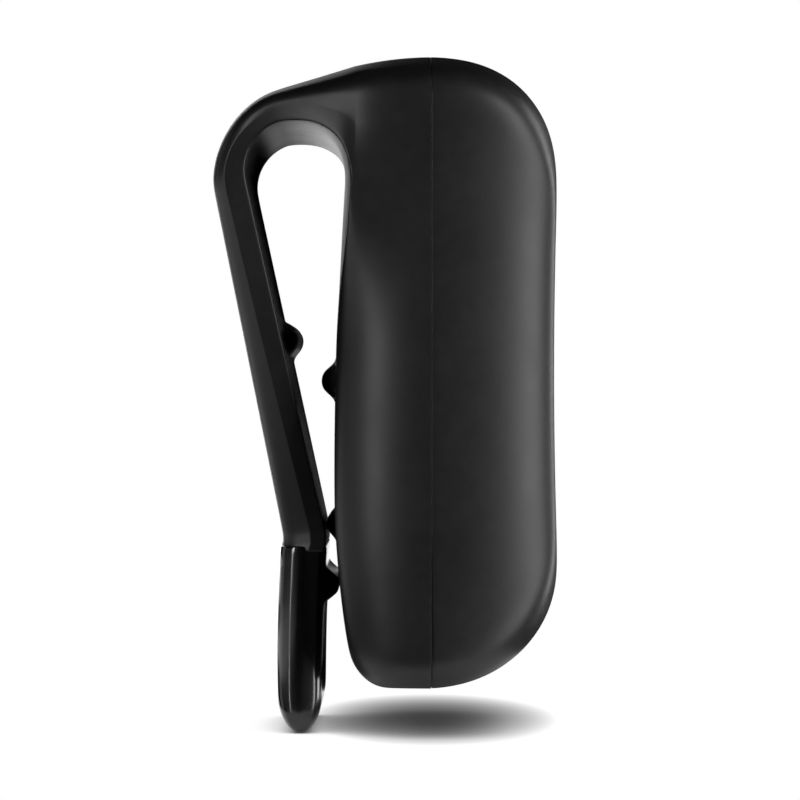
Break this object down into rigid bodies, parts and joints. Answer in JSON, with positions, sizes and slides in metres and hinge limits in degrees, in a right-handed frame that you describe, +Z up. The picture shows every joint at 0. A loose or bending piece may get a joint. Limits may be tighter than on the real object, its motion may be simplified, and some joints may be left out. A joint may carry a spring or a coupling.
{
  "type": "handheld gps unit",
  "caption": "Clip-on handheld GPS receiver: rounded satin-black housing with a sunk screen and keys, a sprung belt clip with a gloss tip, and a rubber port cover.",
  "frame": {"origin": "centre of the round top of the belt slot, midway across the width", "axes": "+Z up, the screen faces -Y, the belt clip stands on +Y, and the belt runs along X"},
  "size_m": [0.042, 0.0352, 0.0696],
  "materials": {
    "shell_plastic": "satin soft-touch",
    "tip_plastic": "polished",
    "key_rubber": "matte",
    "seal_rubber": "matte",
    "window_glass": "polished",
    "display_glass": "polished",
    "white_plastic": "matte",
    "board_laminate": "lacquered",
    "chip_plastic": "matte",
    "plunger_plastic": "matte",
    "antenna_ceramic": "fired",
    "tinned_metal": "tinned",
    "screw_steel": "machined",
    "insert_brass": "machined",
    "cell_foil": "satin foil"
  },
  "bodies": {
    "housing": {"front_shell": "shell_plastic", "rear_cover": "shell_plastic", "housing_seal": "seal_rubber", "display_window": "window_glass", "window_adhesive": "seal_rubber", "lcd_panel": "display_glass", "backlight": "white_plastic", "lcd_frame": "white_plastic", "display_connector": "seal_rubber", "main_board": "board_laminate", "board_screws": "screw_steel", "gps_antenna": "antenna_ceramic", "antenna_plate": "tinned_metal", "receiver_shield": "tinned_metal", "receiver_chip": "chip_plastic", "board_chips": "chip_plastic", "switch_bodies": "chip_plastic", "battery_cell": "cell_foil", "battery_pad": "seal_rubber", "battery_plug": "white_plastic", "usb_socket": "tinned_metal", "base_inserts": "insert_brass", "base_screws": "screw_steel"},
    "clip": {"belt_clip": "shell_plastic", "clip_tip": "tip_plastic"},
    "cover": {"port_cover": "seal_rubber"},
    "power_button": {"power_key": "key_rubber", "power_plunger": "plunger_plastic"},
    "up_button": {"up_key": "key_rubber", "up_plunger": "plunger_plastic"},
    "down_button": {"down_key": "key_rubber", "down_plunger": "plunger_plastic"},
    "mark_button": {"mark_key": "key_rubber", "mark_plunger": "plunger_plastic"}
  },
  "joints": [
    {"name": "clip_flex", "type": "hinge", "parent": "housing", "child": "clip", "pos_m": [0, 0.002, 0.00655], "axis": [1, 0, 0], "range_deg": [0, 7], "stiffness_Nm_per_rad": 5, "springref_deg": -1.72},
    {"name": "cover_swing", "type": "hinge", "parent": "housing", "child": "cover", "pos_m": [0.02003, -0.01655, -0.02764], "axis": [0, -1, 0], "range_deg": [0, 90]},
    {"name": "power_press", "type": "slide", "parent": "housing", "child": "power_button", "axis": [0, 1, 0], "range_m": [0, 0.0005], "stiffness_N_per_m": 600, "springref_m": -0.001},
    {"name": "up_press", "type": "slide", "parent": "housing", "child": "up_button", "axis": [0, 1, 0], "range_m": [0, 0.0005], "stiffness_N_per_m": 600, "springref_m": -0.001},
    {"name": "down_press", "type": "slide", "parent": "housing", "child": "down_button", "axis": [0, 1, 0], "range_m": [0, 0.0005], "stiffness_N_per_m": 600, "springref_m": -0.001},
    {"name": "mark_press", "type": "slide", "parent": "housing", "child": "mark_button", "axis": [0, 1, 0], "range_m": [0, 0.0005], "stiffness_N_per_m": 600, "springref_m": -0.001}
  ]
}
